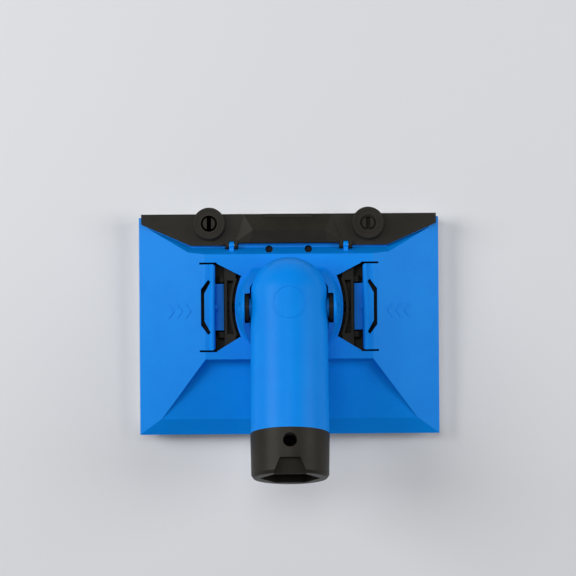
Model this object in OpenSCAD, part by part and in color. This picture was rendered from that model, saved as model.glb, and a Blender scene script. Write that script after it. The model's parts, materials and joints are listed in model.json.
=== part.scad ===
// Paint pad edger: a pad holder with a flip-up guide bar, two guide wheels, squeeze-release tabs
// and a handle that tilts and takes a threaded extension pole.
// Origin: centre of the pad's painting face. +X right, +Y to the guide wheels, +Z out of the back.

/* [Shell] */
// Width of the shell, along X
shell_w = 127; // [124:1:132]
// Front edge of the shell, along +Y
shell_front = 45.3; // [45:0.1:46]
// Back edge of the shell, along -Y
shell_back = 46.7; // [46:0.1:48]
// Height of the plateau above the painting face
plateau_z = 19; // [18.8:0.1:19.4]
// Half width of the plateau
plateau_half = 35.2; // [35:0.1:36]
// Wall thickness of the shell
wall = 2; // [1.8:0.1:2.1]

/* [Pad] */
// Thickness of the flocked painting face
face_h = 1.6; // [1:0.1:2]
// Top of the foam
foam_top = 6.4; // [6:0.1:6.4]
// Thickness of the pad's plate
plate_h = 1.8; // [1.5:0.1:1.8]

/* [Handle] */
// Tilt of the handle from the pad's plane, as stored
tilt = 15; // [15:1:18]
// Outer radius of the handle
handle_r = 15.9; // [15.5:0.1:16]
// Length from the pivot to the collar
grip_len = 52.8; // [50:0.1:53]
// Length from the pivot to the end of the collar
handle_len = 71; // [70:0.5:76]
// Radius of the pole's bore
pole_r = 8; // [7.5:0.1:8.5]
// Size across flats of the hexagonal mouth
hex_af = 21.2; // [20:0.1:21.5]
// Radius of the lock button hole
button_r = 2.8; // [2.2:0.1:3]

/* [Guide bar] */
// Thickness of the bar
bar_h = 2; // [1.8:0.1:2.2]
// Radius of a guide wheel
wheel_r = 6.75; // [6:0.05:7]
// Thickness of a guide wheel
wheel_h = 3.2; // [3:0.1:3.4]

/* [Release] */
// Travel of the squeeze tabs
tab_travel = 2; // [2:0.1:2]
// Height of the slots at the ends of a tab
slot = 0.8; // [0.6:0.1:0.9]

/* [Hidden] */

$fn = 64;
EPS = 0.05;
BLUE = [0.0, 0.42, 0.87];
BLACK = [0.16, 0.15, 0.14];
STEEL = [0.72, 0.73, 0.75];
FOAM = [0.9, 0.9, 0.86];
FELT = [0.95, 0.94, 0.9];

half_w = shell_w / 2;
skirt_z = foam_top + 0.1;          // lower edge of the shell
eave_z = 9;                        // where the sloping sides meet the skirt
slope = (plateau_z - eave_z) / (half_w - plateau_half);
plateau_front = 29.5;
panel_edge = [40, 12.2];           // distance back and height, outer edge of the recessed panel
panel_top = [16.4, 14.5];          // the same, foot of the step under the plateau
panel_half = [54.1, 34];           // half widths of the panel at those two places
wall_lean = [-4.1, 6.5, 15.5];     // how the panel's corner walls lean
bed_z = 10.4;                      // bed of the guide bar
bed_corner = [40.9, 32.5];         // half width and place of the bed's inner corner
bed_side = [30, 13.15];            // direction of the bed's slanted sides
bed_lean = [-1.9, -3, 8.6];        // how the bed's walls lean

pivot = [0, 7, 31];                // centre of the handle's pivot
well_r = 18.3;                     // round well that the handle turns in
well_x = 16.15;                    // half width of the well, beside the handle
turret_r = 22.8;                   // foot of the turret
turret_top = [19.3, 36];           // radius and height that the turret's cone runs to
ear_r = 7.2;                       // rounded top of an ear
ring_r = 20.2;                     // outside of the well's wall
ring_z = 11;                       // lower end of the well's wall
pin_r = 2.4;
washer_r = 5.9;
washer_in = 16.5;                  // inner face of a friction washer

tab_y = 7.3;                       // centre line of the tabs
tab_half = 18;                     // half length of a tab
tab_root = 37;                     // where a tab meets the shell
tab_edge = 31;                     // free edge of a tab
tab_lip = 1.3;                     // height of the raised edge
opening_x = 30.3;                  // outer side of an opening
arc_x = 10.3;                      // centre and radius of an opening's inner side
arc_r = 33;
catch_x = 27.2;                    // outer face of a catch
catch_top = 16.6;
spring_z = 13.4;                   // height of a spring's axis
lip_z = 12.5;                      // underside of the pad's hooks
lip_x = 28.4;                      // inner edge of the pad's hooks

frame_z = 8.8;                     // underside of the base frame
frame_h = 1.8;
screw_at = [[46, 22], [40, -28]];
screw_r = 1.4;

bar_z = bed_z + 0.1;
bar_top = bar_z + bar_h;
bar_front = 46.6;
bar_back = 33.3;
bar_middle = [22.9, 34.2];         // half width and back edge of the bar's set-back middle
hinge = [24.1, 33.4, 11.7];        // a bar hinge: half spacing, place and height
hinge_pin_r = 0.8;
wheel_at = [33.5, 42.5];
wheel_z = bar_top + 0.3;
post_r = 2.5;

// ---- helpers ----

// A solid between two outlines with the same number of points, each point [x, y, z].
// Both run anticlockwise, seen from above.
module loft(low, high) {
    n = len(low);
    polyhedron(concat(low, high), concat(
        [[for (i = [0 : n - 1]) i]],
        [[for (i = [n - 1 : -1 : 0]) n + i]],
        [for (i = [0 : n - 1]) [i, n + i, n + (i + 1) % n, (i + 1) % n]]));
}

// An outline in the YZ plane, extruded along X from x0 to x1.
module along_x(x0, x1) {
    translate([x0, 0, 0]) rotate([90, 0, 90]) linear_extrude(x1 - x0) children();
}

// An outline in the XZ plane, extruded along Y from y0 to y1.
module along_y(y0, y1) {
    translate([0, y1, 0]) rotate([90, 0, 0]) linear_extrude(y1 - y0) children();
}

// A cylinder along X, centred on a point.
module rod_x(at, r, x0, x1) {
    translate([x0, at[1], at[2]]) rotate([0, 90, 0]) cylinder(r = r, h = x1 - x0);
}

module both_sides() {
    children();
    mirror([1, 0, 0]) children();
}

// side is -1 for left and 1 for right; pieces are drawn on the left.
module on_side(side) {
    if (side < 0) children();
    else mirror([1, 0, 0]) children();
}

// The handle's own frame: X as before, Y towards the free end, Z up out of the handle.
module in_handle() {
    translate(pivot) rotate([-tilt, 0, 0]) mirror([0, 1, 0]) children();
}

// A cylinder along the handle.
module along_handle(r, s0, s1, fn = 96) {
    translate([0, s0, 0]) rotate([-90, 0, 0]) cylinder(r = r, h = s1 - s0, $fn = fn);
}

function mirrored(p) = [for (i = [len(p) - 1 : -1 : 0]) [-p[i][0], p[i][1], p[i][2]]];

// ---- shell ----

// Space over the recessed panel, grown by t into the block around it.
module panel_space(t) {
    a = [-panel_half[0] - 1.31 * t, -panel_edge[0], panel_edge[1] - t];
    b = [-panel_half[1] - 0.46 * t, -panel_top[0] + t, panel_top[1] - t + 0.1 * t];
    lift = (b[2] + wall_lean[2] - a[2]) / wall_lean[2];
    low = [b, a];
    high = [b + wall_lean, a + lift * wall_lean];
    loft(concat(low, mirrored(low)), concat(high, mirrored(high)));
}

// Space over the back strip.
module strip_space(t) {
    along_x(-half_w - 5, half_w + 5) polygon([
        [-shell_back - 13.4, eave_z - 6.4 - t], [-shell_back, eave_z - t],
        [-panel_edge[0], panel_edge[1] - t], [-panel_edge[0] + 12, 30], [-shell_back - 13.4, 30]]);
}

// Space over the bed of the guide bar.
module bed_space(t) {
    up = (30 - bed_z + t) / bed_lean[2];
    c = [-bed_corner[0] + 0.21 * t, bed_corner[1] - t, bed_z - t];
    low = [c + [-bed_side[0], bed_side[1], 0], c];
    left = concat([[low[0][0], 70, bed_z - t]], low);
    high = [for (p = left) p + up * bed_lean];
    loft(concat(left, mirrored(left)), concat(high, mirrored(high)));
}

// The shell's block: outside with t = 0, inside with t = wall.
module block(t) {
    x = half_w - t;
    low = t > 0 ? skirt_z - 5 : skirt_z;
    difference() {
        along_y(-shell_back + t, shell_front - t) polygon([
            [-x, low], [-x, eave_z + t * slope - t], [-plateau_half, plateau_z - t],
            [plateau_half, plateau_z - t], [x, eave_z + t * slope - t], [x, low]]);
        panel_space(t);
        strip_space(t);
        bed_space(t);
    }
}

// Outline of the ears seen from the side.
module ear_outline() {
    translate([pivot[1], pivot[2]]) circle(r = ear_r);
    polygon([[pivot[1] - 18, plateau_z - 1], [pivot[1] - 16, plateau_z + 0.6],
        [pivot[1] - ear_r * 0.9, pivot[2] + ear_r * 0.42], [pivot[1] + ear_r * 0.9, pivot[2] + ear_r * 0.42],
        [pivot[1] + 16, plateau_z + 0.6], [pivot[1] + 18, plateau_z - 1]]);
}

module turret() {
    intersection() {
        translate([0, pivot[1], plateau_z - 0.5])
            cylinder(r1 = turret_r - 0.3, r2 = turret_top[0], h = turret_top[1] + 3 - plateau_z, $fn = 128);
        along_x(-30, 30) ear_outline();
    }
}

// Outline of the opening and of the tab's place in the shell, left side.
module opening_outline() {
    difference() {
        polygon([[-opening_x, tab_y + 18.4], [-20.5, tab_y + 13.3], [-15, tab_y + 13.3],
            [-15, tab_y - 12.6], [-20.7, tab_y - 12.6], [-opening_x, tab_y - 18.4]]);
        translate([arc_x, tab_y]) circle(r = arc_r, $fn = 160);
    }
    translate([-tab_root, tab_y - tab_half - slot]) square([tab_root - opening_x + EPS, 2 * (tab_half + slot)]);
    for (y = [tab_y + tab_half, tab_y - tab_half - slot])
        translate([-tab_root - 0.6, y]) square([3, slot]);
}

module shell() {
    color(BLUE) difference() {
        union() {
            difference() {
                block(0);
                block(wall);
                both_sides() rod_x([0, hinge[1], hinge[2]], 2, -hinge[0] - 2.9, -hinge[0] + 2.9);
            }
            translate([0, pivot[1], ring_z]) cylinder(r = ring_r, h = plateau_z - 0.6 - ring_z, $fn = 128);
            turret();
            both_sides() {
                for (p = screw_at) translate([p[0], p[1], frame_z + frame_h])
                    cylinder(r = 3, h = p[1] > 0 ? 3 : 1.4);
                rod_x([0, hinge[1], hinge[2]], 1.7, -hinge[0] - 1, -hinge[0] + 1);
                translate([-hinge[0] - 1, 30.2, bed_z - 1.4]) cube([2, 3.2, 3.5]);
                translate([-hinge[0] - 0.9, 29.7, 12]) cube([1.8, 2.7, 3.4]);
            }
        }
        intersection() {
            translate([0, pivot[1], 0]) cylinder(r = well_r, h = 60, $fn = 128);
            translate([-well_x, -30, -1]) cube([2 * well_x, 80, 70]);
        }
        both_sides() {
            rod_x(pivot, washer_r + 0.2, -well_r - 0.01, -10);
            translate([-well_r - 0.01, pivot[1] - washer_r - 0.2, pivot[2]]) cube([5, 2 * washer_r + 0.4, 20]);
            linear_extrude(50) opening_outline();
            for (p = screw_at) translate([p[0], p[1], frame_z]) cylinder(r = screw_r, h = p[1] > 0 ? 4.4 : 3.2);
            translate([-8.3, 31.7, 5]) cylinder(r = 1.6, h = 12);
            rod_x([0, hinge[1], hinge[2]], hinge_pin_r, -hinge[0] - 2, -hinge[0] + 2);
        }
        rod_x(pivot, pin_r, -30, 30);
    }
}

// ---- base frame ----

module base_frame() {
    color(BLACK) difference() {
        union() {
            translate([-52, -35.5, frame_z]) cube([104, 64.8, frame_h]);
            both_sides() {
                for (y = [tab_y + tab_half + 0.2, tab_y - tab_half - 1.4])
                    translate([-29.5, y, frame_z]) cube([6.5, 1.2, frame_h + 2.6]);
                for (y = [tab_y + 10.4, tab_y - 12.9]) along_y(y, y + 2.5) polygon([
                    [-30.2, frame_z + 1], [-30.2, 14.2], [-29.2, 15.2], [-catch_x - 0.15, 15.2],
                    [-catch_x - 0.15, frame_z + 1]]);
            }
        }
        translate([0, pivot[1], 0]) cylinder(r = 17.5, h = 30);
        both_sides() {
            translate([-32.3, tab_y - 10, frame_z - 1]) cube([8.6, 20, frame_h + 2]);
            translate([-34, -31, frame_z - 1]) cube([30, 12, frame_h + 2]);
            for (p = screw_at) translate([-p[0], p[1], frame_z - EPS]) {
                cylinder(r = screw_r + 0.1, h = 5);
                cylinder(r1 = 2.8, r2 = 1.4, h = 1.4);
            }
        }
    }
}

module frame_screws() {
    color(STEEL) both_sides() for (p = screw_at) translate([p[0], p[1], frame_z]) difference() {
        union() {
            cylinder(r1 = 2.7, r2 = screw_r, h = 1.3);
            cylinder(r = screw_r - 0.02, h = p[1] > 0 ? 4.2 : 3);
        }
        for (a = [0, 90]) rotate(a) translate([-1.5, -0.3, -EPS]) cube([3, 0.6, 0.7]);
    }
}

// ---- swivel ----

module pivot_pin() {
    color(STEEL) rod_x(pivot, pin_r, -19.6, 19.6);
}

module friction_washer(side) {
    color(BLACK) on_side(side) difference() {
        rod_x(pivot, washer_r, -well_r, -washer_in);
        rod_x(pivot, pin_r, -30, 0);
    }
}

// ---- handle ----

dome_s = -5.2;
handle_wall = 2.7;

module handle_body() {
    color(BLUE) in_handle() difference() {
        union() {
            along_handle(handle_r, dome_s, grip_len);
            translate([0, dome_s, 0]) sphere(r = handle_r, $fn = 96);
            rotate([0, 90, 0]) cylinder(r = 4, h = 2 * (washer_in - 0.1), center = true);
        }
        difference() {
            union() {
                along_handle(handle_r - handle_wall, dome_s, grip_len + 1);
                translate([0, dome_s, 0]) sphere(r = handle_r - handle_wall, $fn = 96);
            }
            both_sides() rotate([0, -90, 0]) cylinder(r = 5, h = 30);
        }
        rotate([0, 90, 0]) cylinder(r = pin_r + 0.05, h = 60, center = true);
        translate([-9, -6, -6]) cube([18, 12, 12]);
    }
}

// Notch over the mouth of the socket.
module notch_space() {
    outer = [6.7, handle_len + EPS];
    inner = [4.1, 65];
    outline = [[-outer[0], outer[1]], [-inner[0], inner[1]], inner, outer];
    heights = [hex_af / 2 + 0.6, 13.6, 13.6, hex_af / 2 + 0.6];
    loft([for (i = [0 : 3]) [outline[i][0], outline[i][1], heights[i]]],
         [for (p = outline) [p[0], p[1], 20]]);
}

module pole_socket() {
    sleeve_r = handle_r - handle_wall - 0.05;
    hex_s = 54;
    button_s = 58;
    color(BLACK) in_handle() difference() {
        union() {
            translate([0, grip_len, 0]) rotate([-90, 0, 0])
                cylinder(r1 = handle_r + 0.25, r2 = handle_r - 0.15, h = handle_len - 1.2 - grip_len, $fn = 96);
            translate([0, handle_len - 1.2, 0]) rotate([-90, 0, 0])
                cylinder(r1 = handle_r - 0.15, r2 = handle_r - 1.05, h = 1.2, $fn = 96);
            along_handle(sleeve_r, 24, grip_len + 1);
        }
        along_handle(pole_r, 20, handle_len + 1);
        translate([0, hex_s, 0]) rotate([-90, 0, 0])
            cylinder(r = hex_af / 2 / cos(30), h = 30, $fn = 6);
        translate([0, button_s, 0]) cylinder(r = button_r, h = 30, $fn = 48);
        notch_space();
    }
}

// ---- guide bar ----

bar_outline = [[-62.3, bar_front], [-62.3, 42.4], [-41.5, bar_back],
    [-bar_middle[0], bar_back], [-bar_middle[0], bar_middle[1]],
    [bar_middle[0], bar_middle[1]], [bar_middle[0], bar_back],
    [41.5, bar_back], [62.3, 42.4], [62.3, bar_front]];

// The thumb hood as a convex solid over points that shrink by t.
module hood(t) {
    left = [[-18.8 + t, 46.3 - t, bar_top - 0.1], [-15 + t * 0.6, 39.7, 16.3 - t],
        [-16.5 + t, 34.4 - t * 2, 14.8 - t], [-23.1 + 2 * t, 34.4 - t * 2, bar_top - 0.1]];
    points = concat(left, mirrored(left));
    hull() polyhedron(points, [[for (i = [0 : 7]) i]]);
}

module guide_bar() {
    color(BLACK) {
        difference() {
            union() {
                translate([0, 0, bar_z]) linear_extrude(bar_h) polygon(bar_outline);
                hood(0);
                translate([-10, bar_front - 1.4, bar_top - EPS]) cube([20, 1.4, 0.8]);
                both_sides() {
                    for (x = [-hinge[0] - 2.6, -hinge[0] + 1.2]) {
                        rod_x([0, hinge[1], hinge[2]], 1.7, x, x + 1.4);
                        translate([x, hinge[1], bar_z]) cube([1.4, 2, bar_h + 0.9]);
                    }
                    translate([-wheel_at[0], wheel_at[1], bar_top - EPS]) {
                        cylinder(r = 3.6, h = 0.3);
                        cylinder(r = post_r, h = wheel_h + 0.5);
                        translate([0, 0, 2.75]) cylinder(r1 = post_r + 0.45, r2 = post_r - 0.1, h = 1.1);
                    }
                }
            }
            hood(1.3);
            translate([-hinge[0] - 1.2, 20, 0]) cube([2.4, 15.2, 30]);
            translate([hinge[0] - 1.2, 20, 0]) cube([2.4, 15.2, 30]);
            both_sides() {
                translate([-wheel_at[0] - 0.9, wheel_at[1] - 5, bar_top + 0.25]) cube([1.8, 10, 10]);
                rod_x([0, hinge[1], hinge[2]], hinge_pin_r + 0.05, -hinge[0] - 4, -hinge[0] + 4);
            }
        }
    }
}

module bar_hinge_pin(side) {
    color(STEEL) on_side(side) rod_x([0, hinge[1], hinge[2]], hinge_pin_r, -hinge[0] - 2.5, -hinge[0] + 2.5);
}

module guide_wheel(side) {
    color(BLACK) on_side(side) translate([-wheel_at[0], wheel_at[1], wheel_z]) difference() {
        union() {
            cylinder(r = wheel_r, h = wheel_h - 0.4, $fn = 96);
            translate([0, 0, wheel_h - 0.4 - EPS]) cylinder(r1 = wheel_r, r2 = wheel_r - 0.4, h = 0.4 + EPS, $fn = 96);
        }
        translate([0, 0, -1]) cylinder(r = post_r + 0.05, h = 10);
        translate([0, 0, 2.3]) cylinder(r = 3.4, h = 5);
        translate([0, 0, wheel_h - 0.3]) difference() {
            cylinder(r = wheel_r - 1.2, h = 1);
            cylinder(r = 4.2, h = 3, center = true);
        }
    }
}

// ---- squeeze release ----

// Bracket-shaped slot that frees the middle of a tab.
module tab_slot() {
    polygon([[-tab_root - 1, tab_y - 6.2], [-33.9, tab_y - 11.6], [-32.9, tab_y - 10.6], [-35.5, tab_y - 5.8],
        [-35.5, tab_y + 5.8], [-32.9, tab_y + 10.6], [-33.9, tab_y + 11.6], [-tab_root - 1, tab_y + 6.2]]);
}

module squeeze_tab(side) {
    root_z = eave_z + (half_w - tab_root) * slope;
    color(BLUE) on_side(side) {
        difference() {
            along_y(tab_y - tab_half, tab_y + tab_half) polygon([
                [-tab_root, root_z - wall], [-tab_root, root_z], [-plateau_half, plateau_z], [-33.4, plateau_z],
                [-32.4, plateau_z + tab_lip], [-31.6, plateau_z + tab_lip], [-tab_edge, plateau_z + tab_lip - 0.5],
                [-tab_edge, plateau_z - wall], [-plateau_half, plateau_z - wall]]);
            linear_extrude(40) tab_slot();
            for (y = [tab_y + tab_half, tab_y - tab_half]) translate([-tab_edge, y, 10])
                rotate(45) cube([1, 1, 30], center = true);
        }
        along_y(tab_y - 9.8, tab_y + 9.8) polygon([[-32.6, plateau_z - wall + EPS], [-tab_edge, plateau_z - 1],
            [-tab_edge, 15], [-catch_x - 0.25, 15], [-catch_x - 0.25, 13.9], [-31.8, 13.9]]);
        translate([-tab_edge - EPS, tab_y - 0.8, plateau_z - 1]) cube([0.9, 1.6, 1]);
    }
}

module release_catch(side) {
    floor_z = frame_z + frame_h + 0.2;
    color(BLACK) on_side(side) difference() {
        union() {
            translate([-catch_x, tab_y - 17.6, floor_z]) cube([1.2, 35.2, catch_top - floor_z]);
            intersection() {
                translate([-catch_x, tab_y - 17.6, floor_z]) cube([4.8, 35.2, catch_top - floor_z]);
                union() {
                    translate([-catch_x, tab_y - 17.6, floor_z]) cube([4.8, 35.2, 1.2]);
                    for (y = [tab_y + 11.2, tab_y - 17.6])
                        translate([-catch_x, y, floor_z]) cube([4.8, 6.4, catch_top - floor_z]);
                }
            }
            intersection() {
                translate([arc_x, tab_y, floor_z]) difference() {
                    cylinder(r = arc_r + 2.4, h = catch_top - floor_z, $fn = 160);
                    translate([0, 0, -1]) cylinder(r = arc_r + 1.3, h = 20, $fn = 160);
                }
                translate([-catch_x, tab_y - 12, 0]) cube([6, 24, 30]);
            }
            along_y(tab_y - 8.6, tab_y + 8.6) polygon([[-catch_x, lip_z - 0.1], [-lip_x + 0.05, lip_z - 0.1],
                [-29.65, 7.2], [-28.4, 6.7], [-26, 6.7], [-26, lip_z - 0.1]]);
        }
        rod_x([0, tab_y, spring_z], 2.15, -25.9, -15);
    }
}

// A round wire spring along X, from x0 to x1.
module coil(x0, x1, r, wire, turns) {
    sides = 6;
    per_turn = 16;
    n = turns * per_turn;
    points = [for (i = [0 : n]) for (k = [0 : sides - 1])
        let (a = 360 * i / per_turn, b = 360 * k / sides, q = r + wire * cos(b))
            [x0 + (x1 - x0) * i / n + wire * sin(b), q * cos(a), q * sin(a)]];
    faces = concat([[for (k = [0 : sides - 1]) k]], [[for (k = [sides - 1 : -1 : 0]) n * sides + k]],
        [for (i = [0 : n - 1]) for (k = [0 : sides - 1])
            [i * sides + k, (i + 1) * sides + k, (i + 1) * sides + (k + 1) % sides, i * sides + (k + 1) % sides]]);
    polyhedron(points, faces);
}

module release_spring(side) {
    wire = 0.22;
    color(STEEL) on_side(side) translate([0, tab_y, spring_z])
        coil(-25.9 + wire, -ring_r - wire, 1.8, wire, 4);
}

// ---- pad ----

module pad_plate() {
    color(BLACK) {
        difference() {
            translate([-59.6, -43.9, foam_top]) cube([119.2, 86.5, plate_h]);
            both_sides() translate([-30.35, tab_y - 9.6, foam_top + 0.15]) cube([7, 19.2, 5]);
        }
        both_sides() along_y(tab_y - 9, tab_y + 9) polygon([[-31.8, foam_top + 1], [-31.8, 12.6], [-31, 13.4],
            [-29, 13.4], [-lip_x, 12.9], [-lip_x, lip_z], [-30.35, lip_z], [-30.35, foam_top + 1]]);
    }
}

module pad_foam() {
    color(FOAM) translate([-62.6, -45.6, face_h]) cube([125.2, 91.2, foam_top - face_h]);
}

module pad_face() {
    color(FELT) translate([-62.8, -45.8, 0]) cube([125.6, 91.6, face_h]);
}

shell();
base_frame();
frame_screws();
pivot_pin();
friction_washer(-1);  // friction_washer_left
friction_washer(1);  // friction_washer_right
handle_body();
pole_socket();
guide_bar();
bar_hinge_pin(-1);  // bar_hinge_pin_left
bar_hinge_pin(1);  // bar_hinge_pin_right
guide_wheel(-1);  // guide_wheel_left
guide_wheel(1);  // guide_wheel_right
squeeze_tab(-1);  // squeeze_tab_left
squeeze_tab(1);  // squeeze_tab_right
release_catch(-1);  // release_catch_left
release_catch(1);  // release_catch_right
release_spring(-1);  // release_spring_left
release_spring(1);  // release_spring_right
pad_plate();
pad_foam();
pad_face();
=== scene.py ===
"""Looks of the paint pad edger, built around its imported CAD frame. Metres, the frame's own axes."""

import json
import math
import random

import bmesh
import bpy
from mathutils import Matrix, Vector, noise


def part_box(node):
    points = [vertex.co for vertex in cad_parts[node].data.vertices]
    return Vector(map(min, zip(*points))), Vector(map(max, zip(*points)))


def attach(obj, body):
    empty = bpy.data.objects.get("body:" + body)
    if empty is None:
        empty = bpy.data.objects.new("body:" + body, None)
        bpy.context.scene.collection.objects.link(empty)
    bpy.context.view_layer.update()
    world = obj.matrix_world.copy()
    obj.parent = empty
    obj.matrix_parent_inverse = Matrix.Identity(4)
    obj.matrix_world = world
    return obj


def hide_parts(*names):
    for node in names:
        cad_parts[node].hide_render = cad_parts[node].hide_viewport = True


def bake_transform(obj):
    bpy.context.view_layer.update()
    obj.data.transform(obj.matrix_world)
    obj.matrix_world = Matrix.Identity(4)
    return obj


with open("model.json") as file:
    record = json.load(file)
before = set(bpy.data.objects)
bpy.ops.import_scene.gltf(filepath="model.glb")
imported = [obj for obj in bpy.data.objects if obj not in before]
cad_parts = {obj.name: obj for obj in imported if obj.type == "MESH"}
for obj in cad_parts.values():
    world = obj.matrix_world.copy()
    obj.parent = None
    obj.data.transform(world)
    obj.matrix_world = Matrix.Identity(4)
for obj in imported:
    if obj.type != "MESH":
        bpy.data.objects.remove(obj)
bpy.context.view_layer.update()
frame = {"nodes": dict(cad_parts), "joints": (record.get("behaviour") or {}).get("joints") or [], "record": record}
NODES = frame["nodes"]
JOINTS = {joint["name"]: joint for joint in frame["joints"]}
MM = 0.001
WELD_REACH = 0.000004

# Degrees: faces closer to flat than this are joined, smoothed over, or left without a bevel.
FLAT_ANGLE = 0.6
SMOOTH_ANGLE = 40
BEVEL_ANGLE = 16

BLUE = (0.0, 0.255, 0.84, 1.0)
BLUE_DEEP = (0.0, 0.235, 0.81, 1.0)
BLACK = (0.019, 0.017, 0.013, 1.0)
BLACK_WORN = (0.027, 0.024, 0.018, 1.0)


# ---- materials ----

class Shader:
    """A material under construction: short names for its nodes and links."""

    def __init__(self, name):
        self.material = bpy.data.materials.new(name)
        self.material.use_nodes = True
        self.tree = self.material.node_tree
        self.bsdf = self.tree.nodes["Principled BSDF"]
        self.coords = self.add("ShaderNodeTexCoord").outputs["Object"]

    def add(self, kind, **values):
        node = self.tree.nodes.new(kind)
        for key, value in values.items():
            if key in node.inputs:
                node.inputs[key].default_value = value
            else:
                setattr(node, key, value)
        return node

    def link(self, out, into):
        self.tree.links.new(out, into)

    def noise(self, scale, detail=3.0, rough=0.55, stretch=None):
        node = self.add("ShaderNodeTexNoise", Scale=scale, Detail=detail, Roughness=rough)
        source = self.coords
        if stretch:
            mapping = self.add("ShaderNodeMapping", Scale=stretch)
            self.link(self.coords, mapping.inputs["Vector"])
            source = mapping.outputs["Vector"]
        self.link(source, node.inputs["Vector"])
        return node.outputs["Fac"]

    def ramp(self, fac, low, high, start=0.35, end=0.65):
        node = self.add("ShaderNodeValToRGB")
        stops = node.color_ramp.elements
        stops[0].position, stops[0].color = start, low
        stops[1].position, stops[1].color = end, high
        self.link(fac, node.inputs["Fac"])
        return node.outputs["Color"]

    def spread(self, fac, low, high):
        node = self.add("ShaderNodeMapRange")
        node.inputs["To Min"].default_value = low
        node.inputs["To Max"].default_value = high
        self.link(fac, node.inputs["Value"])
        return node.outputs["Result"]

    def bump(self, height, depth, strength=1.0, under=None):
        node = self.add("ShaderNodeBump", Strength=strength, Distance=depth)
        self.link(height, node.inputs["Height"])
        if under:
            self.link(under, node.inputs["Normal"])
        return node.outputs["Normal"]


def moulded_plastic(name, base, deep, rough, grain=5200, grain_depth=0.000012, flow=60):
    """Injection-moulded plastic: spark-eroded grain, slow flow marks and fine handling marks."""
    s = Shader(name)
    patches = s.noise(flow, detail=4, rough=0.6)
    s.link(s.ramp(patches, deep, base), s.bsdf.inputs["Base Color"])
    marks = s.noise(900, detail=5, rough=0.7)
    s.link(s.spread(marks, rough - 0.07, rough + 0.09), s.bsdf.inputs["Roughness"])
    sink = s.bump(patches, 0.00012, 0.35)
    s.link(s.bump(s.noise(grain, detail=2), grain_depth, 0.8, sink), s.bsdf.inputs["Normal"])
    s.bsdf.inputs["IOR"].default_value = 1.42
    s.bsdf.inputs["Specular IOR Level"].default_value = 0.16
    return s.material


def turned_steel(name, dark=(0.42, 0.42, 0.44, 1), light=(0.62, 0.62, 0.63, 1)):
    """Drawn or turned steel with fine lines: bright zinc unless told otherwise."""
    s = Shader(name)
    lines = s.noise(2600, detail=3, stretch=(1, 14, 14))
    s.link(s.ramp(lines, dark, light), s.bsdf.inputs["Base Color"])
    s.link(s.spread(lines, 0.24, 0.42), s.bsdf.inputs["Roughness"])
    s.link(s.bump(lines, 0.00001, 0.5), s.bsdf.inputs["Normal"])
    s.bsdf.inputs["Metallic"].default_value = 1.0
    return s.material


def open_foam(name):
    """White open-cell foam: pores of about half a millimetre, their hollows darkened with painted shade."""
    s = Shader(name)
    cells = s.add("ShaderNodeTexVoronoi", Scale=1500.0)
    s.link(s.coords, cells.inputs["Vector"])
    # Painted shade: the pore hollows, where the bump sinks, are coloured darker grey than the white cell walls.
    hollow_shade = s.ramp(cells.outputs["Distance"], (0.62, 0.61, 0.56, 1), (0.90, 0.89, 0.85, 1), 0.05, 0.45)
    s.link(hollow_shade, s.bsdf.inputs["Base Color"])
    s.link(s.bump(cells.outputs["Distance"], 0.00035, 0.9), s.bsdf.inputs["Normal"])
    s.bsdf.inputs["Roughness"].default_value = 0.92
    s.bsdf.inputs["Subsurface Weight"].default_value = 0.15
    s.bsdf.inputs["Subsurface Radius"].default_value = (0.001, 0.001, 0.0008)
    return s.material


def flock(name):
    """Cream flocked nap, with painted shade darkening the low parts of the nap."""
    s = Shader(name)
    nap = s.noise(3800, detail=6, rough=0.7, stretch=(1, 1, 0.35))
    tufts = s.noise(260, detail=3)
    # Painted shade: the nap is coloured darker where its bump is low, between the fibres.
    hollow_shade = s.ramp(nap, (0.56, 0.54, 0.48, 1), (0.86, 0.85, 0.79, 1), 0.3, 0.62)
    s.link(hollow_shade, s.bsdf.inputs["Base Color"])
    s.link(s.bump(nap, 0.0003, 0.9, s.bump(tufts, 0.0003, 0.5)), s.bsdf.inputs["Normal"])
    s.bsdf.inputs["Roughness"].default_value = 0.95
    s.bsdf.inputs["Sheen Weight"].default_value = 0.35
    s.bsdf.inputs["Sheen Roughness"].default_value = 0.5
    return s.material


LOOKS = {
    "blue_plastic": moulded_plastic("blue_moulding", BLUE, BLUE_DEEP, 0.40),
    "black_plastic": moulded_plastic("black_moulding", BLACK_WORN, BLACK, 0.42,
                                     grain=4200, grain_depth=0.00002),
    "steel": turned_steel("zinc_steel"),
    "foam": open_foam("pad_foam_cells"),
    "flock": flock("pad_flock"),
}
SPRING_STEEL = turned_steel("phosphated_steel", (0.03, 0.03, 0.03, 1), (0.07, 0.068, 0.065, 1))
SLOT_OF = {part["node"]: part["material_slot"] for part in frame["record"]["subparts"]}


def paint(obj, slot):
    obj.data.materials.clear()
    obj.data.materials.append(LOOKS[slot])


# ---- meshes ----

def add_mesh(name, bm, slot, body=None, smooth=True):
    """A new piece from a bmesh, painted, and riding on a body if one is given."""
    mesh = bpy.data.meshes.new(name)
    bmesh.ops.recalc_face_normals(bm, faces=bm.faces)
    bm.to_mesh(mesh)
    bm.free()
    mesh.polygons.foreach_set("use_smooth", [smooth] * len(mesh.polygons))
    if smooth:
        mesh.set_sharp_from_angle(angle=math.radians(SMOOTH_ANGLE))
    obj = bpy.data.objects.new(name, mesh)
    bpy.context.scene.collection.objects.link(obj)
    paint(obj, slot)
    if body:
        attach(obj, body)
    return obj


def add_bevel(obj, width, segments=3):
    bevel = obj.modifiers.new("edges", "BEVEL")
    bevel.width = width
    bevel.segments = segments
    bevel.limit_method = "ANGLE"
    bevel.angle_limit = math.radians(BEVEL_ANGLE)
    bevel.harden_normals = True
    bevel.miter_outer = "MITER_ARC"
    bevel.use_clamp_overlap = True


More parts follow.
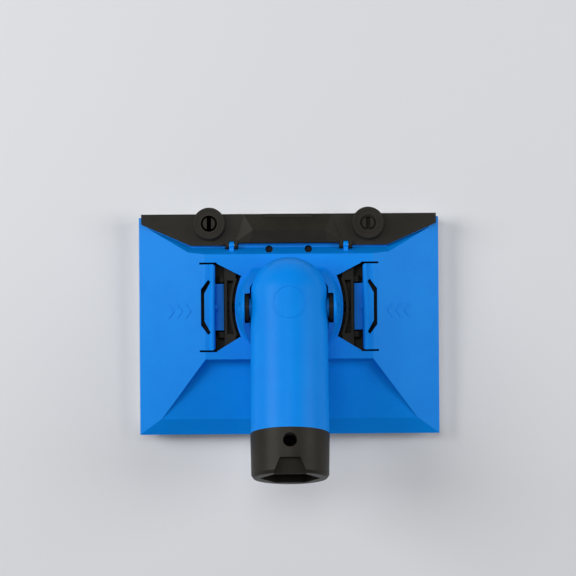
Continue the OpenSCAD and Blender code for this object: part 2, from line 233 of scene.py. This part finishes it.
def soften(node, width):
    """Rounds the edges of a CAD node as moulding does, by modifiers alone: they join its split
    vertices, clear its flat triangles and bevel what is left."""
    obj = NODES[node]
    mesh = obj.data
    if mesh.attributes.get("custom_normal"):
        mesh.attributes.remove(mesh.attributes["custom_normal"])
    for name in ("sharp_edge", "sharp_face"):
        if mesh.attributes.get(name):
            mesh.attributes.remove(mesh.attributes[name])
    mesh.polygons.foreach_set("use_smooth", [True] * len(mesh.polygons))
    weld = obj.modifiers.new("weld", "WELD")
    weld.merge_threshold = WELD_REACH
    flat = obj.modifiers.new("flat", "DECIMATE")
    flat.decimate_type = "DISSOLVE"
    flat.angle_limit = math.radians(FLAT_ANGLE)
    add_bevel(obj, width)


EDGE_WIDTHS = {
    "shell": 0.8, "base_frame": 0.25, "frame_screws": 0.1, "pivot_pin": 0.2,
    "friction_washer_left": 0.4, "friction_washer_right": 0.4,
    "handle_body": 0.5, "pole_socket": 0.5,
    "guide_bar": 0.3, "bar_hinge_pin_left": 0.1, "bar_hinge_pin_right": 0.1,
    "guide_wheel_left": 0.35, "guide_wheel_right": 0.35,
    "release_catch_left": 0.22, "release_catch_right": 0.22, "pad_plate": 0.3,
}


def finish_cad_nodes():
    """Paints every CAD node in its record's slot and rounds the edges of those in EDGE_WIDTHS (mm)."""
    for node, obj in NODES.items():
        paint(obj, SLOT_OF[node])
        if node in EDGE_WIDTHS:
            soften(node, EDGE_WIDTHS[node] * MM)
        else:
            obj.data.polygons.foreach_set("use_smooth", [True] * len(obj.data.polygons))


def flexing_tab(side):
    """The squeeze tab as one moulding with the shell, sliced across near its outer edge, where it meets the shell.
    """
    node = f"squeeze_tab_{side}"
    sign = -1 if side == "left" else 1
    low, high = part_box(node)
    bm = bmesh.new()
    bm.from_mesh(NODES[node].data)
    bmesh.ops.remove_doubles(bm, verts=bm.verts, dist=WELD_REACH)
    bmesh.ops.dissolve_limit(bm, angle_limit=math.radians(FLAT_ANGLE), verts=bm.verts, edges=bm.edges)
    root_x = low[0] if sign < 0 else high[0]
    bend_length, cut_count, cut_gap = 4.2 * MM, 8, 0.5 * MM
    for k in range(1, cut_count + 1):
        cut = Vector((root_x - sign * k * cut_gap, 0, 0))
        bmesh.ops.bisect_plane(bm, geom=bm.verts[:] + bm.edges[:] + bm.faces[:], plane_co=cut,
                               plane_no=Vector((1, 0, 0)), dist=0.0000001)
    tab = add_mesh(f"flexing_tab_{side}", bm, "blue_plastic")
    add_bevel(tab, 0.3 * MM)
    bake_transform(tab)
    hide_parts(node)


def grid_block(low, high, step, corner, layers):
    """A closed block with gridded faces and rounded upright corners, ready for displacement."""
    bm = bmesh.new()
    size = Vector(high) - Vector(low)
    nx, ny = round(size[0] / step), round(size[1] / step)
    rings = []
    for k in range(layers + 1):
        z = low[2] + size[2] * k / layers
        rings.append([[bm.verts.new((low[0] + size[0] * i / nx, low[1] + size[1] * j / ny, z))
                       if k in (0, layers) or i in (0, nx) or j in (0, ny) else None
                       for j in range(ny + 1)] for i in range(nx + 1)])
    for i in range(nx):
        for j in range(ny):
            bottom, top = rings[0], rings[-1]
            bm.faces.new((bottom[i][j], bottom[i][j + 1], bottom[i + 1][j + 1], bottom[i + 1][j]))
            bm.faces.new((top[i][j], top[i + 1][j], top[i + 1][j + 1], top[i][j + 1]))
    rim = ([(i, 0) for i in range(nx)] + [(nx, j) for j in range(ny)]
           + [(i, ny) for i in range(nx, 0, -1)] + [(0, j) for j in range(ny, 0, -1)])
    for k in range(layers):
        for (i, j), (p, q) in zip(rim, rim[1:] + rim[:1]):
            bm.faces.new((rings[k][i][j], rings[k][p][q], rings[k + 1][p][q], rings[k + 1][i][j]))
    middle = (Vector(low) + Vector(high)) / 2
    for v in bm.verts:
        inner = Vector((size[0] / 2 - corner, size[1] / 2 - corner))
        over = Vector((abs(v.co.x - middle.x) - inner.x, abs(v.co.y - middle.y) - inner.y))
        if over.x > 0 and over.y > 0 and over.length > 0:
            reach = max(over.x, over.y)
            fixed = over * (reach / over.length)
            v.co.x = middle.x + math.copysign(inner.x + fixed.x, v.co.x - middle.x)
            v.co.y = middle.y + math.copysign(inner.y + fixed.y, v.co.y - middle.y)
    return bm


def pad_foam():
    """The foam block: cut sides with open pores, drawn in a little under the plate's edge."""
    low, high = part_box("pad_foam")
    rim = 1.5 * MM
    bm = grid_block(low, high, step=0.9 * MM, corner=2.0 * MM, layers=7)
    for v in bm.verts:
        side = max(abs(v.co.x) - (high[0] - rim), abs(v.co.y) - (high[1] - rim))
        if side > 0 and low[2] < v.co.z < high[2]:
            pores = noise.noise(v.co * 1300) * 0.16 + noise.noise(v.co * 420) * 0.12
            rise = (v.co.z - low[2]) / (high[2] - low[2])
            inward = (0.22 + 0.35 * math.sin(math.pi * rise) - pores) * MM
            if abs(v.co.x) > high[0] - rim:
                v.co.x -= math.copysign(inward, v.co.x)
            if abs(v.co.y) > high[1] - rim:
                v.co.y -= math.copysign(inward, v.co.y)
    foam = add_mesh("foam_block", bm, "foam", "pad")
    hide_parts("pad_foam")


def pad_face():
    """The flocked face: a backing with a fuzzy edge, and short fibres all round it."""
    low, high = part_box("pad_face")
    backing_low = Vector(low) + Vector((0.25, 0.25, 0.12)) * MM
    backing_high = Vector(high) - Vector((0.25, 0.25, 0.0)) * MM
    bm = grid_block(backing_low, backing_high, step=1.0 * MM, corner=2.2 * MM, layers=3)
    for v in bm.verts:
        if v.co.z < low[2] + 0.5 * MM:
            v.co.z += 0.10 * MM * noise.noise(v.co * 700)
        if max(abs(v.co.x) - backing_high[0], abs(v.co.y) - backing_high[1]) > -0.1 * MM:
            fuzz = 0.12 * MM * noise.noise(v.co * 900)
            v.co.x += fuzz * (1 if v.co.x > 0 else -1)
            v.co.y += fuzz * (1 if v.co.y > 0 else -1)
    face = add_mesh("flocked_face", bm, "flock", "pad")
    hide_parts("pad_face")

    fibre_count, fibre_half, corner_gap = 5200, 0.045 * MM, 1.2 * MM
    fibres = bmesh.new()
    draw = random.Random(7)
    width, depth = high[0] - low[0], high[1] - low[1]
    half = (width / 2 - 0.45 * MM, depth / 2 - 0.45 * MM)
    for _ in range(fibre_count):
        along = draw.uniform(0, 2 * (width + depth))
        if along < 2 * width:
            spot = Vector((along % width - width / 2, -half[1] if along < width else half[1], 0))
            out = Vector((0, math.copysign(1, spot.y), 0))
        else:
            along -= 2 * width
            spot = Vector((-half[0] if along < depth else half[0], along % depth - depth / 2, 0))
            out = Vector((math.copysign(1, spot.x), 0, 0))
        if out.y:
            spot.x = max(-half[0] + corner_gap, min(half[0] - corner_gap, spot.x))
        if out.x:
            spot.y = max(-half[1] + corner_gap, min(half[1] - corner_gap, spot.y))
        spot.z = low[2] + draw.uniform(0.25, 1.45) * MM
        lean = out * draw.uniform(0.25, 0.42)
        lean += Vector((draw.uniform(-0.2, 0.2), draw.uniform(-0.2, 0.2), draw.uniform(-0.18, 0.1)))
        tip = spot + lean * MM
        tip.z = max(tip.z, low[2] + 0.02 * MM)
        across = lean.normalized().cross(Vector((0, 0, 1))).normalized() * fibre_half
        up = Vector((0, 0, fibre_half))
        root = [fibres.verts.new(spot + step) for step in (across, -across, up)]
        top = fibres.verts.new(tip)
        for a, b in ((0, 1), (1, 2), (2, 0)):
            fibres.faces.new((root[a], root[b], top))
        fibres.faces.new(root)
    add_mesh("edge_nap", fibres, "flock", "pad")


# The handle's own frame: X as before, Y to the free end, Z out of its top.
TILT = JOINTS["handle_tilt"]
PIVOT = Vector(TILT["pos_m"])
THREAD = next(m for m in frame["record"]["mounts"] if m["name"] == "pole_thread")
HANDLE_Y = Vector(THREAD["axis"])
HANDLE_Z = Vector((1, 0, 0)).cross(HANDLE_Y) * -1
HANDLE = Matrix.Translation(PIVOT) @ Matrix((Vector((1, 0, 0)), HANDLE_Y, HANDLE_Z)).transposed().to_4x4()


def sweep(bm, centres, section, closed=False):
    """Sweeps a closed section, given per ring as points, along a row of rings."""
    rings = [[bm.verts.new(p) for p in section(c)] for c in centres]
    pairs = list(zip(rings, rings[1:])) + ([(rings[-1], rings[0])] if closed else [])
    for a, b in pairs:
        for k in range(len(a)):
            n = (k + 1) % len(a)
            bm.faces.new((a[k], a[n], b[n], b[k]))
    if not closed:
        bm.faces.new(rings[0])
        bm.faces.new(rings[-1][::-1])


def socket_thread():
    """The pole thread's crest: a helical ridge standing in from the bore."""
    bore = THREAD["dims"]["r_mm"] * MM
    pitch, turns, steps = 5.08 * MM, 4.4, 48
    start, fade_steps, crest_height = 27 * MM, 14, 0.85 * MM
    bm = bmesh.new()

    def section(k):
        angle = 2 * math.pi * k / steps
        along = start + pitch * k / steps
        fade = min(1, k / fade_steps, (turns * steps - k) / fade_steps)
        height = max(0.02, fade) * crest_height
        profile = ((bore + 0.25 * MM, -1.5 * MM), (bore + 0.25 * MM, 1.5 * MM),
                   (bore - height, 0.55 * MM), (bore - height, -0.55 * MM))
        return [HANDLE @ Vector((r * math.cos(angle), along + s, r * math.sin(angle)))
                for r, s in profile]

    sweep(bm, range(int(turns * steps) + 1), section)
    thread = add_mesh("socket_thread", bm, "black_plastic", "handle")
    add_bevel(thread, 0.15 * MM, 2)


def release_spring(side):
    """The catch's coil spring, which is pressed together as the catch slides in."""
    node = f"release_spring_{side}"
    low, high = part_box(node)
    wire = 0.22 * MM
    middle = (low + high) / 2
    coil_r = (high.z - low.z) / 2 - wire
    sign = -1 if side == "left" else 1
    outer = low.x if sign < 0 else high.x
    inner = high.x if sign < 0 else low.x
    turns, steps, sides = 5.5, 28, 10
    count = int(turns * steps)
    bm = bmesh.new()

    def section(k):
        share = k / count
        along = outer - sign * wire + (inner - outer + 2 * sign * wire) * share
        angle = 2 * math.pi * k / steps
        points = []
        for j in range(sides):
            turn = 2 * math.pi * j / sides
            r = coil_r + wire * math.cos(turn)
            points.append(Vector((along + wire * math.sin(turn), middle.y + r * math.cos(angle),
                                  middle.z + r * math.sin(angle))))
        return points

    sweep(bm, range(count + 1), section)
    spring = add_mesh(f"coiled_spring_{side}", bm, "steel")
    spring.data.materials[0] = SPRING_STEEL
    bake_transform(spring)
    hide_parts(node)


def handle_ring():
    """A plain raised ring on top of the handle, over the pivot."""
    handle_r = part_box("handle_body")[1][0] - 0.5 * MM
    ring_r, wide, tall, sunk, off_pivot, steps = 6.6 * MM, 0.5 * MM, 0.18 * MM, 0.3 * MM, 1.2 * MM, 96
    bm = bmesh.new()

    def section(k):
        angle = 2 * math.pi * k / steps
        points = []
        for dr, dh in ((-wide, -sunk), (-wide * 0.6, tall), (wide * 0.6, tall), (wide, -sunk)):
            x, y = (ring_r + dr) * math.cos(angle), (ring_r + dr) * math.sin(angle) + off_pivot
            points.append(HANDLE @ Vector((x, y, math.sqrt(handle_r ** 2 - x ** 2) + dh)))
        return points

    sweep(bm, range(steps), section, closed=True)
    add_mesh("handle_ring", bm, "blue_plastic", "handle")


def squeeze_arrows(side):
    """Three raised chevrons on the shell's slope, pointing to the tab."""
    sign = -1 if side == "left" else 1
    shell_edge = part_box("shell")[1][0]
    tab_low, tab_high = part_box(f"squeeze_tab_{side}")
    middle = (tab_low[1] + tab_high[1]) / 2 - 1.6 * MM
    slope = 10 / 28.3
    eave = 9.0 * MM
    first_tip, gap, arm, rise = 41.5, 3.6, (2.2 * MM, 2.9 * MM), 0.24 * MM

    def ground(x):
        return eave + (shell_edge - abs(x)) * slope

    bm = bmesh.new()
    for k in range(3):
        tip = sign * (first_tip + gap * k) * MM
        for end in (-1, 1):
            a = Vector((tip, middle, 0))
            b = Vector((tip + sign * arm[0], middle + end * arm[1], 0))
            across = (b - a).normalized().cross(Vector((0, 0, 1))) * 0.32 * MM
            corners = [a + across, a - across, b - across, b + across]
            base = [bm.verts.new((p.x, p.y, ground(p.x) - 0.2 * MM)) for p in corners]
            top = [bm.verts.new((p.x, p.y, ground(p.x) + rise)) for p in corners]
            bm.faces.new(base)
            bm.faces.new(top[::-1])
            for i in range(4):
                j = (i + 1) % 4
                bm.faces.new((base[i], base[j], top[j], top[i]))
    arrows = add_mesh(f"squeeze_arrows_{side}", bm, "blue_plastic", "shell", smooth=False)
    add_bevel(arrows, 0.06 * MM, 2)


def panel_fillet():
    """The soft foot of the step around the shell's recessed panel, following its three sides."""
    corner = Vector((-34, -16.4, 14.5)) * MM
    outer = Vector((-54.1, -40, 12.2)) * MM
    lean = Vector((-4.1, 6.5, 15.5))
    back_lean = Vector((0, 6.5, 15.5))
    lean_length = 16.8
    down = Vector((0, -23.6, -2.3)).normalized()
    floor_up = Vector((1, 0, 0)).cross(down) * -1
    along = (outer - corner).normalized()
    inward = along.cross(floor_up) * (1 if along.cross(floor_up).x > 0 else -1)
    side_rise = (lean - along * lean.dot(along)).normalized()
    reach, steps, curve_steps, back_depth = 2.4 * MM, 26, 8, 0.35 * MM

    def ring(at, size, across, rise, back):
        floor_point, wall_point = at + across * size, at + rise * size
        points = []
        for k in range(curve_steps + 1):
            t = k / curve_steps
            points.append(floor_point * (1 - t) ** 2 + at * 2 * t * (1 - t) + wall_point * t ** 2)
        points.append(at + back * back_depth)
        return points

    mitre = (down + inward) / (1 + down.dot(inward))
    sides = []
    for k in range(steps, -1, -1):
        share = k / steps
        at = corner.lerp(outer, share)
        size = reach * min(1, max(0.03, (1 - share) * 1.7))
        blend = min(1, share / 0.12)
        across = mitre.lerp(inward, blend)
        rise = (lean / lean_length).lerp(side_rise, blend)
        sides.append((at, size, across, rise, -(across + rise).normalized()))
    middle = []
    for k in range(1, 5):
        share = k / 5
        at = corner.lerp(Vector((0, corner.y, corner.z)), share)
        blend = min(1, share / 0.1)
        across = mitre.lerp(down, blend)
        rise = (lean / lean_length).lerp(back_lean / lean_length, blend)
        middle.append((at, reach, across, rise, -(across + rise).normalized()))
    half = sides + middle
    flip = Vector((-1, 1, 1))
    path = [ring(*c) for c in half] + [[p * flip for p in ring(*c)] for c in reversed(half)]
    bm = bmesh.new()
    sweep(bm, path, lambda ring_points: ring_points)
    add_mesh("panel_fillet", bm, "blue_plastic", "shell")


# ---- stage ----

def stage():
    bm = bmesh.new()
    bmesh.ops.create_grid(bm, x_segments=1, y_segments=1, size=1.5)
    mesh = bpy.data.meshes.new("floor")
    bm.to_mesh(mesh)
    bm.free()
    floor = bpy.data.objects.new("floor", mesh)
    floor.location.z = -0.1 * MM
    bpy.context.scene.collection.objects.link(floor)
    s = Shader("pale_floor")
    s.bsdf.inputs["Base Color"].default_value = (0.74, 0.75, 0.77, 1)
    s.bsdf.inputs["Roughness"].default_value = 0.9
    mesh.materials.append(s.material)


def area_light(name, place, target, size, power, colour=(1, 1, 1)):
    data = bpy.data.lights.new(name, "AREA")
    data.shape = "RECTANGLE"
    data.size, data.size_y = size
    data.energy = power
    data.color = colour
    light = bpy.data.objects.new(name, data)
    light.location = place
    aim = Vector(target) - Vector(place)
    light.rotation_euler = aim.to_track_quat("-Z", "Y").to_euler()
    bpy.context.scene.collection.objects.link(light)


def lights():
    middle = (0, 0, 0.02)
    area_light("left", (-0.80, 0.25, 0.62), middle, (0.45, 0.6), 6.2)
    area_light("right", (0.82, 0.12, 0.58), middle, (0.45, 0.6), 4.0)
    area_light("top", (-0.12, 0.28, 1.05), middle, (0.5, 0.3), 2.6)
    world = bpy.data.worlds.new("studio")
    bpy.context.scene.world = world
    world.use_nodes = True
    world.node_tree.nodes["Background"].inputs["Color"].default_value = (0.95, 0.97, 1.0, 1)
    world.node_tree.nodes["Background"].inputs["Strength"].default_value = 0.17


def camera():
    """Square above the tool, as a product on its card is photographed."""
    distance = 0.8
    seen_width = 0.2426
    sensor_width = 36
    data = bpy.data.cameras.new("camera")
    data.sensor_width = sensor_width
    data.lens = sensor_width * distance / seen_width
    data.clip_start = 0.05
    eye = bpy.data.objects.new("camera", data)
    eye.location = (-0.0004, 0.0152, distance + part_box("base_frame")[1][2])
    eye.rotation_euler = (0, 0, math.radians(-0.4))
    bpy.context.scene.collection.objects.link(eye)
    bpy.context.scene.camera = eye


camera()
lights()
stage()
finish_cad_nodes()
for side in ("left", "right"):
    flexing_tab(side)
    release_spring(side)
    squeeze_arrows(side)
pad_foam()
pad_face()
socket_thread()
handle_ring()
panel_fillet()
bpy.context.scene.view_settings.view_transform = "Standard"
